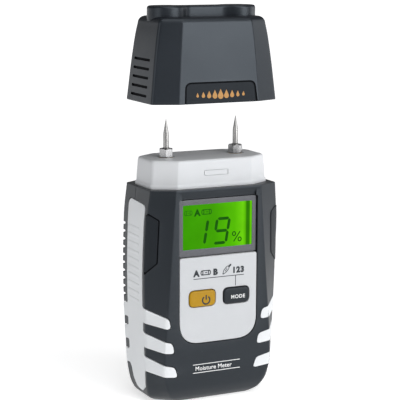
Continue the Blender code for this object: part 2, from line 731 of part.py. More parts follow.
# ---- Cap ------------------------------------------------------------------
def platform_outline():
    """Plan of the raised bar on the cap: two round bosses joined by a filleted neck."""
    across = math.sqrt((BOSS_RADIUS + BAR_FILLET) ** 2 - (BAR_HALF + BAR_FILLET) ** 2)
    fillet_x = BOSS_X - across
    fillet_y = BAR_HALF + BAR_FILLET
    lean = math.degrees(math.atan2(fillet_y, across))
    return (
        arc((BOSS_X, 0.0), BOSS_RADIUS, lean - 180, 180 - lean, 16)
        + arc((fillet_x, fillet_y), BAR_FILLET, -lean, -90, 4)
        + arc((-fillet_x, fillet_y), BAR_FILLET, -90, lean - 180, 4)
        + arc((-BOSS_X, 0.0), BOSS_RADIUS, lean, 360 - lean, 16)
        + arc((-fillet_x, -fillet_y), BAR_FILLET, 180 - lean, 90, 4)
        + arc((fillet_x, -fillet_y), BAR_FILLET, 90, lean, 4)
    )


def make_cap():
    cap = loft("cap_shell", [cap_section(station, 0.0) for station in CAP_STATIONS])
    platform = prism("platform", platform_outline(), "Z", CAP_BASE + CAP_CEILING + 0.0010, CAP_BASE + PLATFORM_TOP)
    combine(cap, platform, "UNION")
    low, middle, high = CAP_STATIONS[:3]
    top = (CAP_CEILING,) + high[1:]
    below = (-WALL,) + low[1:]
    room = loft("cap_room", [
        cap_section(below, CAP_WALL_LOW),
        cap_section(low, CAP_WALL_LOW),
        cap_section(middle, CAP_WALL_HIGH),
        cap_section(top, CAP_WALL_HIGH + 0.0003),
    ])
    combine(cap, room, "DIFFERENCE")
    for side in (-1, 1):
        hole = turned("hole", ((CONTACT_RADIUS + GAP, CAP_BASE + CAP_CEILING - 0.0010),
                               (CONTACT_RADIUS + GAP, CAP_BASE + PLATFORM_TOP + 0.0010)), (side * PIN_X, 0.0, 0.0))
        combine(cap, hole, "DIFFERENCE")
    add_finish(cap, "dark_plastic")
    move_origin(cap, (0.0, 0.0, CAP_BASE))
    return cap


def make_cap_tester(cap):
    """The self-test inside the cap: two sleeves, a small board and its reference resistor."""
    pieces = []
    for side, label in ((-1, "left"), (1, "right")):
        sleeve = tube(label + "_test_contact", CONTACT_RADIUS, 0.0015, CAP_BASE + CAP_BOARD_Z[1] + GAP,
                      CAP_BASE + PLATFORM_TOP - 0.0008, (side * PIN_X, 0.0, 0.0))
        add_finish(sleeve, "brass")
        pieces.append(sleeve)
    board = box("cap_test_board", (-0.0195, -0.0040, CAP_BASE + CAP_BOARD_Z[0]), (0.0195, 0.0040, CAP_BASE + CAP_BOARD_Z[1]))
    add_finish(board, "board_green")
    pieces.append(board)
    level = CAP_BASE + CAP_BOARD_Z[0] - GAP - 0.0011
    resistor = turned("reference_resistor", ((0.0007, -0.0032), (0.0011, -0.0028), (0.0011, 0.0028), (0.0007, 0.0032)),
                      (0.0, 0.0, level), "X", 12)
    add_finish(resistor, "brass")
    pieces.append(resistor)
    for piece in pieces:
        piece.parent = cap
        piece.matrix_parent_inverse = Matrix.Translation(-cap.location)


def main():
    for old in list(bpy.data.objects):
        bpy.data.objects.remove(old)
    make_front_shell()
    make_rear_shell()
    make_grip("left_grip", -1)
    make_grip("right_grip", 1)
    make_housing_screws()
    make_head()
    make_electrode(-1, "left")
    make_electrode(1, "right")
    make_display_window()
    make_control_panel()
    make_button("power", "orange_plastic")
    make_button("mode", "black_rubber")
    make_keypad_mat()
    make_display_stack()
    make_circuit_board()
    make_battery_tray()
    make_battery_cells()
    make_battery_door()
    make_cap_tester(make_cap())


main()
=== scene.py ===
"""Looks of the moisture meter: detailed shells, display, print, pins, cap, materials and studio."""

import math

import bmesh
import bpy
from mathutils import Matrix, Quaternion, Vector


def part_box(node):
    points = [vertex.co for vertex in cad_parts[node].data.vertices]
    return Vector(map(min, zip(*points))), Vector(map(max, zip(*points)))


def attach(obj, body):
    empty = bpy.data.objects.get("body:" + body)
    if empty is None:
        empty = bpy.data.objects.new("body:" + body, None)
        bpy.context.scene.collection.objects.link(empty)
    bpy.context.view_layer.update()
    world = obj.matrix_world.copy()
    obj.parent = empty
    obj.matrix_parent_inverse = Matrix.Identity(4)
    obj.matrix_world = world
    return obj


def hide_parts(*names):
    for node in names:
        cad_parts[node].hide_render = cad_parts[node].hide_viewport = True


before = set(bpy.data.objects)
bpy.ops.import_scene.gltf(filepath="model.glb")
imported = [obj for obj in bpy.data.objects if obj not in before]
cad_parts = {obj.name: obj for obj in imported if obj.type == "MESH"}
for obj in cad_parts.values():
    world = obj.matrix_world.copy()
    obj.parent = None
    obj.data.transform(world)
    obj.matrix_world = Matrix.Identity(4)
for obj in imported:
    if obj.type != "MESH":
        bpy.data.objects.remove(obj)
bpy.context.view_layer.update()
MM = 0.001

# Body sections in millimetres: height, half width of the front face, front side corner,
# half width, rear side corner, half width of the rear face, depth of the front face.
BODY_STATIONS = (
    (0.0, 17.0, 4.5, 25.2, 6.5, 16.5, 11.5),
    (2.5, 20.5, 6.6, 28.1, 9.0, 19.0, 14.3),
    (7.0, 23.0, 8.2, 29.3, 11.2, 20.5, 16.5),
    (16.0, 25.0, 9.0, 30.0, 12.6, 21.5, 17.6),
    (57.0, 22.3, 10.4, 31.3, 13.2, 21.5, 17.6),
    (78.0, 20.8, 11.8, 30.9, 13.0, 20.8, 17.6),
    (92.0, 19.8, 13.0, 29.6, 12.5, 20.0, 17.6),
)
BODY_TOP = 92.0
REAR_EXTRA = 0.5
SIDE_SINK = 0.3                  # the shells stay this far inside the grips' outer face
SEAM_Y = 2.0
# Cap sections: height above the rim, half width of the front face, side corner, half width, depth.
CAP_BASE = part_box("cap_shell")[0].z / MM
CAP_STATIONS = (
    (0.0, 18.4, 13.3, 29.0, 17.4),
    (20.0, 17.0, 12.2, 26.7, 16.3),
    (32.5, 15.8, 11.1, 24.6, 15.3),
    (34.3, 15.2, 10.5, 23.8, 14.6),
    (35.2, 14.3, 9.6, 22.6, 13.5),
)
PIN_X = 16.4
HEAD_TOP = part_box("head_block")[1].z / MM
# Head outline low and high: front half, side corner, side half, rear corner, rear half, front, rear.
HEAD_LOW = (17.4, 8.4, 27.4, 8.4, 17.4, 14.1, 14.1)
HEAD_HIGH = (17.0, 7.7, 26.3, 7.7, 17.0, 13.6, 13.6)
HEAD_RADII = (1.8, 1.8, 2.4, 2.4) * 2
WALL = 2.5                       # of the housing
SEAM_GAP = 0.14                  # half the gap between the housing halves
FAR = 60.0                       # beyond the body on every side, for cutters
PIERCE = (-20.0, -10.0)          # from before the front to behind the window and the panel
WINDOW_FRONT, PANEL_FRONT, LOWER_FRONT = -16.5, -17.5, -17.6
SEAT = -14.2                     # the plane that the window and the panel sit on
LIT_FRONT = -16.15               # the face of the display's lit field
CATCH_FRONT = -13.72
RIB_LEVELS = [43.5 + 3.45 * step for step in range(10)]
CAMERA_AZIMUTH, CAMERA_ELEVATION = math.radians(-25.99), math.radians(9.97)
ARC_STEPS = 6


# ---- Curves and outlines ----
def station_at(stations, height):
    """One section between stations, on a smooth curve that never overshoots."""
    if height <= stations[0][0]:
        return stations[0][1:]
    if height >= stations[-1][0]:
        return stations[-1][1:]
    index = max(i for i in range(len(stations) - 1) if stations[i][0] <= height)
    low, high = stations[index], stations[index + 1]
    span = high[0] - low[0]
    share = (height - low[0]) / span
    square, cube = share * share, share * share * share
    values = []
    for column in range(1, len(low)):
        start, end = [monotone_slope(stations, place, column) * span for place in (index, index + 1)]
        values.append(low[column] * (2 * cube - 3 * square + 1) + start * (cube - 2 * square + share)
                      + high[column] * (3 * square - 2 * cube) + end * (cube - square))
    return tuple(values)


def monotone_slope(stations, place, column):
    """Slope at a station: the harmonic mean of its neighbours' slopes, or flat at a turn."""
    def rise(index):
        low, high = stations[index], stations[index + 1]
        return (high[column] - low[column]) / (high[0] - low[0])

    if place == 0:
        return rise(0)
    if place == len(stations) - 1:
        return rise(place - 1)
    before, after = rise(place - 1), rise(place)
    if before * after <= 0:
        return 0.0
    return 2 * before * after / (before + after)


def round_corners(points, radii, steps=ARC_STEPS):
    """A closed outline whose corners are replaced by short curves of the radii given."""
    result = []
    count = len(points)
    for index in range(count):
        point = Vector(points[index])
        before = Vector(points[index - 1]) - point
        after = Vector(points[(index + 1) % count]) - point
        angle = before.angle(after)
        reach = min(radii[index] / math.tan(angle / 2), before.length * 0.49, after.length * 0.49)
        if reach < 1e-6:
            result.append(point)
            continue
        start = point + before.normalized() * reach
        end = point + after.normalized() * reach
        for step in range(steps + 1):
            share = step / steps
            result.append(start * (1 - share) ** 2 + point * 2 * share * (1 - share) + end * share ** 2)
    return result


def octagon(front_half, front_corner, side_half, rear_corner, rear_half, front, rear):
    return [(-front_half, -front), (front_half, -front), (side_half, -front_corner), (side_half, rear_corner),
            (rear_half, rear), (-rear_half, rear), (-side_half, rear_corner), (-side_half, -front_corner)]


def rounded_edge(radius, steps, start=1):
    """The rise and the inset along a quarter round, step by step up to its top."""
    for step in range(start, steps + 1):
        angle = math.radians(90 * step / steps)
        yield radius * math.sin(angle), radius * (1 - math.cos(angle))


def arc(centre, radius, start, end, steps):
    points = []
    for step in range(steps + 1):
        angle = math.radians(start + (end - start) * step / steps)
        points.append(Vector((centre[0] + radius * math.cos(angle), centre[1] + radius * math.sin(angle))))
    return points


def inset(points, distance):
    """Move every side of a counter-clockwise outline inwards."""
    count = len(points)
    moved = []
    for index in range(count):
        here = Vector(points[index])
        into = (here - Vector(points[index - 1])).normalized()
        out = (Vector(points[(index + 1) % count]) - here).normalized()
        normal_a, normal_b = Vector((-into.y, into.x)), Vector((-out.y, out.x))
        middle = (normal_a + normal_b).normalized()
        moved.append(here + middle * (distance / max(middle.dot(normal_a), 0.3)))
    return moved


def body_corners(height, distance=0.0):
    front_half, front_corner, side_half, rear_corner, rear_half, front = station_at(BODY_STATIONS, height)
    side = side_half - SIDE_SINK
    corners = octagon(front_half, front_corner, side, rear_corner, rear_half, front, front + REAR_EXTRA)
    return inset(corners, distance)


def cap_corners(height, distance=0.0):
    front_half, corner, side_half, depth = station_at(CAP_STATIONS, height)
    return inset(octagon(front_half, corner, side_half, corner, front_half, depth, depth), distance)


BODY_RADII = (1.3, 1.3, 1.4, 1.4, 1.8, 1.8, 1.4, 1.4)
CAP_RADII = (2.0, 2.0, 1.8, 1.8, 2.0, 2.0, 1.8, 1.8)
FLAT_PARTS = 5


def ring(corners, radii):
    """A rounded section with the straight runs divided, the same number of points each time."""
    outline = round_corners(corners, radii)
    result = []
    for index, point in enumerate(outline):
        following = outline[(index + 1) % len(outline)]
        parts = FLAT_PARTS if index % (ARC_STEPS + 1) == ARC_STEPS else 1
        result += [point.lerp(following, part / parts) for part in range(parts)]
    return result


# ---- Mesh building ----
def paint(piece, material):
    """Give a piece its first material; later cuts may add others."""
    piece.data.materials.clear()
    piece.data.materials.append(material)
    return piece


def paint_all(pieces, material):
    return [paint(piece, material) for piece in pieces]


def add_object(name, data):
    piece = bpy.data.objects.new(name, data)
    bpy.context.scene.collection.objects.link(piece)
    return piece


def make_object(name, shape, smooth=30):
    """A bmesh in millimetres turned into an object in metres, shaded smooth below an angle."""
    bmesh.ops.recalc_face_normals(shape, faces=shape.faces)
    bmesh.ops.scale(shape, vec=(MM, MM, MM), verts=shape.verts)
    mesh = bpy.data.meshes.new(name)
    shape.to_mesh(mesh)
    shape.free()
    piece = add_object(name, mesh)
    shade(piece, smooth)
    return piece


def shade(piece, angle=30):
    piece.data.shade_smooth()
    piece.data.set_sharp_from_angle(angle=math.radians(angle))


def ring_stack(rings):
    """A bmesh through rings of 3D points, capped at both ends."""
    shape = bmesh.new()
    rows = [[shape.verts.new(point) for point in points] for points in rings]
    for lower, upper in zip(rows, rows[1:]):
        for index in range(len(lower)):
            following = (index + 1) % len(lower)
            shape.faces.new((lower[index], lower[following], upper[following], upper[index]))
    shape.faces.new(list(reversed(rows[0])))
    shape.faces.new(rows[-1])
    return shape


def loft(name, sections, smooth=30):
    """A solid through (height, outline) sections."""
    rings = [[(point.x, point.y, height) for point in outline] for height, outline in sections]
    return make_object(name, ring_stack(rings), smooth)


def prism(name, outline, axis, low, high):
    """A straight solid with the outline given, from low to high along an axis."""
    slot = "XYZ".index(axis)
    rings = [[(*p[:slot], level, *p[slot:]) for p in outline] for level in (low, high)]
    return make_object(name, ring_stack(rings))


def turned(name, profile, centre, axis="Z", sides=48, smooth=30):
    """A turned solid from (radius, reach) pairs in millimetres."""
    rings = []
    for radius, reach in profile:
        points = []
        for side in range(sides):
            angle = math.tau * side / sides
            across, around = radius * math.cos(angle), radius * math.sin(angle)
            local = (across, reach, around) if axis == "Y" else (across, around, reach)
            points.append(Vector(local) + Vector(centre))
        rings.append(points)
    return make_object(name, ring_stack(rings), smooth)


def box_outline(low, high, radius=0.0, steps=ARC_STEPS):
    points = [(low[0], low[1]), (high[0], low[1]), (high[0], high[1]), (low[0], high[1])]
    return round_corners(points, (radius,) * 4, steps) if radius > 0 else [Vector(point) for point in points]


def modify(piece, kind, **settings):
    """Apply one modifier to a piece."""
    step = piece.modifiers.new("step", kind)
    for key, value in settings.items():
        setattr(step, key, value)
    bpy.context.view_layer.update()
    evaluated = piece.evaluated_get(bpy.context.evaluated_depsgraph_get())
    result = bpy.data.meshes.new_from_object(evaluated)
    piece.modifiers.clear()
    piece.data = result


def combine(piece, other, operation="DIFFERENCE"):
    """Cut, keep or add another piece; cut faces take the cutter's material."""
    modify(piece, "BOOLEAN", operation=operation, solver="EXACT", material_mode="TRANSFER", object=other)
    bpy.data.objects.remove(other)


def even_out(piece, angle=32):
    """Smooth shading below an angle, with the normals led by the larger faces."""
    shade(piece, angle)
    modify(piece, "WEIGHTED_NORMAL", keep_sharp=True, weight=60)


def soften(piece, width, segments=2):
    """Round the sharp edges of a piece and give it even shading."""
    modify(piece, "BEVEL", width=width * MM, segments=segments, limit_method="ANGLE",
           angle_limit=math.radians(35))
    even_out(piece, 40)


def merge(name, pieces):
    """Join several objects into one piece."""
    shape = bmesh.new()
    materials = []
    for piece in pieces:
        for material in piece.data.materials:
            if material not in materials:
                materials.append(material)
        start = len(shape.faces)
        shape.from_mesh(piece.data)
        shape.faces.ensure_lookup_table()
        for face in shape.faces[start:]:
            source = piece.data.materials[face.material_index] if piece.data.materials else None
            face.material_index = materials.index(source) if source else 0
        bpy.data.objects.remove(piece)
    mesh = bpy.data.meshes.new(name)
    shape.to_mesh(mesh)
    shape.free()
    for material in materials:
        mesh.materials.append(material)
    return add_object(name, mesh)


# ---- Bending flat plates onto the body ----
NEARLY_FLAT = 0.05               # a normal with less sideways share than this faces the front or the rear


class Wrap:
    """Maps (distance round the side, height, lift) onto a rounded body, from the middle of one side.

    Positive distances run towards the front. side is +1 for the right and -1 for the left.
    """

    def __init__(self, corners_at, radii, base=0.0):
        self.corners_at = corners_at
        self.radii = radii
        self.base = base
        self.cache = {}

    def lines(self, height):
        key = round(height * 20)
        if key not in self.cache:
            outline = round_corners(self.corners_at(max(height, 0.0)), self.radii, 10)
            depths = [point.y for point in outline]
            ordered = sorted((p for p in outline if p.x > 0), key=lambda p: math.atan2(p.y, p.x))
            middle = Vector((max(point.x for point in outline), 0.0))
            front = [middle] + [p for p in reversed(ordered) if p.y < 0] + [Vector((0.0, min(depths)))]
            rear = [middle] + [p for p in ordered if p.y > 0] + [Vector((0.0, max(depths)))]
            self.cache[key] = (front, rear)
        return self.cache[key]

    def place(self, distance, height, lift, side):
        path = self.lines(height)[0 if distance >= 0 else 1]
        left = abs(distance)
        for start, end in zip(path, path[1:]):
            length = (end - start).length
            if left <= length or end is path[-1]:
                break
            left -= length
        along = (end - start).normalized()
        point = start + along * left
        normal = Vector((-along.y, along.x)) if distance >= 0 else Vector((along.y, -along.x))
        if normal.x < -NEARLY_FLAT or (abs(normal.x) <= NEARLY_FLAT and normal.y * point.y < 0):
            normal = -normal
        point = point + normal * lift
        return Vector((side * point.x, point.y, self.base + height))


BODY_WRAP = Wrap(body_corners, BODY_RADII)
CAP_WRAP = Wrap(cap_corners, CAP_RADII, CAP_BASE)


def bent_plate(name, outline, low, high, wrap, side, edge=0.0, cell=1.0):
    """A plate drawn flat with rounded edges, cut into small cells and bent onto a body."""
    shape = ring_stack([[(point[0], point[1], level) for point in outline] for level in (low, high)])
    if edge > 0:
        shape.faces.ensure_lookup_table()
        bmesh.ops.bevel(shape, geom=list(shape.faces[-1].edges), offset=edge, offset_type="OFFSET",
                        segments=3, profile=0.5, affect="EDGES", clamp_overlap=True)
    for axis in (0, 1):
        values = [vert.co[axis] for vert in shape.verts]
        low_end, span = min(values), max(values) - min(values)
        cuts = math.ceil(span / cell)
        normal = Vector((axis == 0, axis == 1, 0))
        for index in range(1, cuts):
            everything = list(shape.verts) + list(shape.edges) + list(shape.faces)
            place = normal * (low_end + span * index / cuts)
            bmesh.ops.bisect_plane(shape, geom=everything, plane_co=place, plane_no=normal, dist=1e-5)
    bmesh.ops.triangulate(shape, faces=[f for f in shape.faces if len(f.verts) > 4])
    for vert in shape.verts:
        vert.co = wrap.place(vert.co.x, vert.co.y, vert.co.z, side)
    return make_object(name, shape, 35)


# ---- Materials ----
class Graph:
    """The nodes of a material or of the world. Its methods give output sockets back."""

    def __init__(self, tree, coordinates="Object"):
        self.tree = tree
        self.place = tree.nodes.new("ShaderNodeTexCoord").outputs[coordinates]

    def feed(self, node, inputs):
        """Link the sockets given to a node's inputs and set the plain values given."""
        for key, value in inputs.items():
            if isinstance(value, bpy.types.NodeSocket):
                self.tree.links.new(value, node.inputs[key])
            else:
                node.inputs[key].default_value = value

    def add(self, kind, inputs, **settings):
        node = self.tree.nodes.new("ShaderNode" + kind)
        for key, value in settings.items():
            setattr(node, key, value)
        self.feed(node, inputs)
        return node

    def noise(self, scale, detail, roughness=0.55, place=None):
        values = {"Scale": scale, "Detail": detail, "Roughness": roughness, "Vector": place or self.place}
        return self.add("TexNoise", values).outputs["Fac"]

    def span(self, source, low, high, start=0.3, end=0.7):
        """Stretch a value between start and end over low to high."""
        limits = {"From Min": start, "From Max": end, "To Min": low, "To Max": high}
        return self.add("MapRange", {"Value": source, **limits}).outputs["Result"]

    def times(self, first, second):
        return self.add("Math", {0: first, 1: second}, operation="MULTIPLY").outputs[0]

    def mix(self, first, second, factor=1.0, blend="MIX"):
        """Mix two colours; 6, 7 and 2 are the colour sockets of the mix node."""
        inputs = {"Factor": factor, 6: first, 7: second}
        return self.add("Mix", inputs, data_type="RGBA", blend_type=blend).outputs[2]

    def bump(self, height, strength, depth):
        inputs = {"Strength": strength, "Distance": depth * MM, "Height": height}
        return self.add("Bump", inputs).outputs["Normal"]


def new_material(name):
    material = bpy.data.materials.new(name)
    material.use_nodes = True
    return material, Graph(material.node_tree), material.node_tree.nodes["Principled BSDF"]


def moulded(name, colour, roughness, grain=2600.0, depth=0.018, variation=0.12, specular=0.5, wear=0.0,
            coat=0.0, sheen=0.0, dust=0.0):
    """Moulded plastic or rubber: fine spark-eroded grain, slow colour drift, worn edges and dust."""
    material, graph, shader = new_material(name)
    drift = graph.noise(55.0, 4.0)
    tone = graph.span(drift, 1.0 - variation, 1.0 + variation)
    result = graph.mix((*colour, 1.0), tone, blend="MULTIPLY")
    if wear > 0:
        edges = graph.add("NewGeometry", {}).outputs["Pointiness"]
        broken = graph.times(graph.span(edges, 0.0, wear, 0.505, 0.56), graph.noise(900.0, 5.0))
        rubbed = tuple(min(1.0, part * 2.2 + 0.04) for part in colour)
        result = graph.mix(result, (*rubbed, 1.0), broken)
    if dust > 0:
        specks = graph.add("TexVoronoi", {"Scale": 420.0, "Vector": graph.place}).outputs["Distance"]
        result = graph.mix(result, (0.55, 0.55, 0.54, 1.0), graph.span(specks, dust, 0.0, 0.03, 0.09))
    graph.feed(shader, {
        "Base Color": result,
        "Roughness": graph.span(drift, roughness - 0.04, roughness + 0.05),
        "Normal": graph.bump(graph.noise(grain, 2.0), 0.35, depth),
        "Specular IOR Level": specular,
        "Specular Tint": (0.80, 0.90, 1.0, 1.0),
        "Coat Weight": coat,
        "Coat Roughness": 0.08,
        "Sheen Weight": sheen,
    })
    return material


def machined(name, colour, roughness, stretch, scale=900.0):
    """Turned or rolled metal: fine lines along one direction and soft stains."""
    material, graph, shader = new_material(name)
    along = graph.add("Mapping", {"Scale": stretch, "Vector": graph.place}).outputs["Vector"]
    lines = graph.noise(scale, 3.0, 0.5, along)
    stains = graph.span(graph.noise(160.0, 4.0), 0.86, 1.08)
    graph.feed(shader, {
        "Base Color": graph.mix((*colour, 1.0), stains, blend="MULTIPLY"),
        "Roughness": graph.span(lines, roughness - 0.06, roughness + 0.1),
        "Normal": graph.bump(lines, 0.25, 0.01),
        "Metallic": 1.0,
    })
    return material


# The lit field's greens from left to right, each at a share of the width; a dark line runs before the lamp.
LIT_GREENS = (
    (0.0, (0.046, 0.355, 0.0)), (0.45, (0.058, 0.400, 0.0)), (0.75, (0.10, 0.56, 0.0)),
    (0.87, (0.17, 0.73, 0.004)), (0.905, (0.11, 0.56, 0.0)), (0.925, (0.028, 0.22, 0.0)),
    (0.965, (0.030, 0.24, 0.0)), (0.98, (0.14, 0.66, 0.0)), (1.0, (0.13, 0.66, 0.0)),
)
VIEW_HALF = 16.2                 # half the width of the window's opening


def make_lit(graph, shader, colour, strength, base, roughness):
    graph.feed(shader, {"Emission Color": colour, "Emission Strength": strength, "Base Color": base,
                        "Roughness": roughness, "Specular IOR Level": 0.02})


def lcd_material():
    """The lit field: green, brighter towards the lamp at the right, with faint clouds."""
    material, graph, shader = new_material("lcd_lit")
    across = graph.add("SeparateXYZ", {"Vector": graph.place}).outputs["X"]
    share = graph.span(across, 0.0, 1.0, -VIEW_HALF * MM, VIEW_HALF * MM)
    ramp = graph.add("ValToRGB", {"Fac": share})
    stops = ramp.color_ramp.elements
    stops[0].color, stops[1].color = (*LIT_GREENS[0][1], 1.0), (*LIT_GREENS[-1][1], 1.0)
    for position, colour in LIT_GREENS[1:-1]:
        stops.new(position).color = (*colour, 1.0)
    clouds = graph.span(graph.noise(130.0, 2.0), 0.92, 1.06)
    lit = graph.mix(ramp.outputs["Color"], clouds, blend="MULTIPLY")
    make_lit(graph, shader, lit, 0.90, graph.mix(lit, (0.001, 0.004, 0.0, 1.0), 0.995), 0.3)
    return material


def segment_material(name, colour):
    """A switched segment: the lit field seen through dark liquid crystal, a little uneven."""
    material, graph, shader = new_material(name)
    clouds = graph.span(graph.noise(400.0, 2.0), 0.85, 1.15)
    lit = graph.mix((*colour, 1.0), clouds, blend="MULTIPLY")
    make_lit(graph, shader, lit, 0.8, (0.003, 0.006, 0.002, 1.0), 0.4)
    return material


def board_material():
    """Solder mask with copper traces under it."""
    material, graph, shader = new_material("circuit_board")
    bricks = graph.add("TexBrick", {
        "Vector": graph.place,
        "Scale": 260.0,
        "Mortar Size": 0.03,
        "Color1": (0.010, 0.075, 0.028, 1.0),
        "Color2": (0.014, 0.095, 0.036, 1.0),
        "Mortar": (0.035, 0.17, 0.07, 1.0),
    })
    graph.feed(shader, {
        "Base Color": bricks.outputs["Color"],
        "Roughness": 0.35,
        "Normal": graph.bump(bricks.outputs["Fac"], 0.4, 0.03),
    })
    return material


DARK = moulded("dark_housing", (0.0050, 0.0062, 0.0085), 0.40, specular=0.46, wear=0.3, dust=0.03)
DARK_CAP = moulded("dark_cap", (0.0055, 0.0072, 0.0105), 0.36, grain=3200.0, depth=0.028, specular=0.52,
                   wear=0.3, dust=0.03)
# Near-black colour that the cutters give to the faces they cut: painted shade in the grooves, pockets and
# gaps.
GROOVE_SHADE = moulded("painted_groove_shade", (0.002, 0.002, 0.003), 0.7, specular=0.12)
# Less glossy plaque finish, its colour a little darker than the cap's: painted shade for the plaque's tilt.
PLAQUE_MATTE_SHADE = moulded("matte_plaque_painted_shade", (0.005, 0.006, 0.008), 0.34, grain=3600.0, specular=0.17)
DARK_PAD = moulded("dark_pad", (0.0045, 0.0055, 0.0075), 0.48, grain=2200.0, depth=0.03, specular=0.34)
WHITE = moulded("white_housing", (0.60, 0.61, 0.625), 0.38, variation=0.02, depth=0.01, specular=0.4)
PANEL_WHITE = moulded("white_panel", (0.51, 0.52, 0.535), 0.35, variation=0.02, depth=0.008, specular=0.45)
GRIP_WHITE = moulded("white_grip", (0.68, 0.695, 0.71), 0.5, grain=1800.0, variation=0.03, depth=0.02,
                     specular=0.35, sheen=0.1)
ORANGE = moulded("orange_key", (0.39, 0.215, 0.006), 0.38, variation=0.05, depth=0.008, specular=0.22)
KEY_DARK = moulded("dark_key", (0.008, 0.009, 0.011), 0.40, variation=0.1, depth=0.01, specular=0.36)
FRAME_GREY = moulded("window_grey", (0.085, 0.084, 0.092), 0.16, variation=0.05, depth=0.002, coat=0.5)
INK_BLACK = moulded("ink_black", (0.012, 0.012, 0.014), 0.45, variation=0.2, depth=0.002)
INK_WHITE = moulded("ink_white", (0.80, 0.80, 0.80), 0.45, variation=0.05, depth=0.002)
INK_ORANGE = moulded("ink_orange", (0.42, 0.20, 0.035), 0.45, variation=0.08, depth=0.002)
SEGMENT = segment_material("lcd_segment", (0.008, 0.120, 0.001))
GHOST_DARK = segment_material("lcd_ghost_dark", (0.016, 0.180, 0.002))
GHOST = segment_material("lcd_ghost", (0.030, 0.250, 0.002))
LCD = lcd_material()
STEEL = machined("turned_steel", (0.36, 0.355, 0.35), 0.28, (1.0, 1.0, 9.0))
NUT_STEEL = machined("nickel_nut", (0.42, 0.42, 0.425), 0.26, (5.0, 5.0, 1.0), 500.0)
BRASS = machined("brass", (0.70, 0.49, 0.20), 0.28, (1.0, 1.0, 7.0))
BOARD = board_material()
CHIP = moulded("chip_black", (0.015, 0.015, 0.017), 0.55, variation=0.15, depth=0.02)
SILICONE = moulded("silicone", (0.22, 0.23, 0.25), 0.65, variation=0.05, depth=0.01)
CELL = moulded("cell_sleeve", (0.035, 0.075, 0.20), 0.28, variation=0.1, depth=0.003, coat=0.4)


def finish_piece(piece, material, slot, *nodes, body="meter"):
    """Give a piece its material and its body and hide the CAD nodes that it stands for. The slot is not used.
    """
    materials = piece.data.materials
    if not materials:
        materials.append(material)
    for index, present in enumerate(materials):
        if present is None:
            materials[index] = material
    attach(piece, body)
    if nodes:
        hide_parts(*nodes)


# ---- Housing shells ----
RING_HEIGHTS = (
    [0.0, 0.12, 0.45, 1.0, 1.7, 2.5, 3.5, 4.6, 5.8, 7.0, 8.5, 10.0, 11.5, 13.0, 14.5, 16.0]
    + [16.0 + 2.5 * step for step in range(1, 30)]
    + [90.2, 91.3, 91.75, 91.93, 92.0]
)


def body_ring(height, distance=0.0):
    corners = body_corners(height, distance)
    grow = 1.0 + 1.2 * max(0.0, 1 - height / 14.0)
    return ring(corners, [radius * grow for radius in BODY_RADII])


def body_loft(name):
    """The whole body with a small round at its rim and a chamfer at its foot."""
    sections = []
    rim, foot = 0.25, 0.45
    for height in RING_HEIGHTS:
        past = height - (BODY_TOP - rim)
        rounding = 0.0 if past <= 0 else rim - math.sqrt(max(0.0, rim ** 2 - past ** 2))
        sections.append((height, body_ring(height, rounding + 0.6 * max(0.0, foot - height))))
    return loft(name, sections)


def head_outline(grow):
    return round_corners(inset(octagon(*HEAD_LOW), -grow), HEAD_RADII, 8)


# Fingers of the grip: height of the root, and for the front ones how far the tip reaches.
REAR_FINGERS = (16.95, 27.45, 37.5)
FRONT_FINGERS = ((38.2, 23.6), (27.45, 25.2), (16.95, 26.2))
FINGER_REACH = {-1: -1.9, 1: 0.3}
GRIP_FRONT, GRIP_REAR = 7.6, -8.0


def grip_outline(side, grow=0.0):
    """Grip in side view, distance from the side's middle against height: three fingers each way."""
    points = []
    radii = []

    def add(across, height, radius):
        points.append((across, height))
        radii.append(max(radius + (grow if radius > 0.4 else 0.0), 0.15))

    add(2.4 - grow, 3.7 - grow, 1.0)
    add(-2.4, 4.1 - grow, 1.6)
    add(-5.4 - grow, 8.0, 1.6)
    add(-6.6 - grow, 12.0, 1.0)
    for root in REAR_FINGERS:
        add(GRIP_REAR - grow, root - 3.1 - grow, 0.5)
        add(GRIP_REAR - 10.0 - grow * 0.5, root - 4.2 - grow, 0.5)
        add(GRIP_REAR - 12.0 - grow, root - 2.2 - grow * 0.5, 0.8)
        add(GRIP_REAR - 10.6 - grow * 0.5, root + 0.9 + grow, 0.6)
        add(GRIP_REAR - grow, root + 3.1 + grow, 0.5)
    add(-7.4 - grow, 86.4 + grow, 2.2)
    add(9.4 + grow, 85.4 + grow, 2.4)
    add(8.3 + grow, 64.0, 8.0)
    for root, reach in FRONT_FINGERS:
        tip = reach + FINGER_REACH[side]
        add(GRIP_FRONT + grow, root + 3.9 + grow, 0.5)
        add(tip - 0.9 + grow, root - 0.2 + grow, 1.9)
        add(tip - 0.1 + grow, root - 4.6 - grow, 1.0)
        add(GRIP_FRONT + grow, root - 2.6 - grow, 0.5)
    add(6.8 + grow, 6.6, 1.0)
    return list(reversed(round_corners(points, radii, 4)))


PAD_CORNERS = ((10.2, 57.0), (15.6, 61.6), (16.6, 79.4), (12.2, 82.0), (10.9, 81.0))


def pad_outline(grow):
    return round_corners(inset(PAD_CORNERS, -grow), (0.5, 0.9, 0.9, 0.9, 0.5), 3)


def aperture_outline(low, high, half, radius):
    points = [(-half, low), (half, low), (half, high), (-half, high)]
    return round_corners(points, (radius, radius, 0.9, 0.9), 8)


def side_bars(levels, reach, half, radius, depth, wrap, side, **shape):
    """Short level bars, one at each height, bent onto a side."""
    bars = []
    for level in levels:
        outline = box_outline((reach[0], level - half), (reach[1], level + half), radius, 3)
        bars.append(bent_plate("bar", outline, *depth, wrap, side, **shape))
    return bars


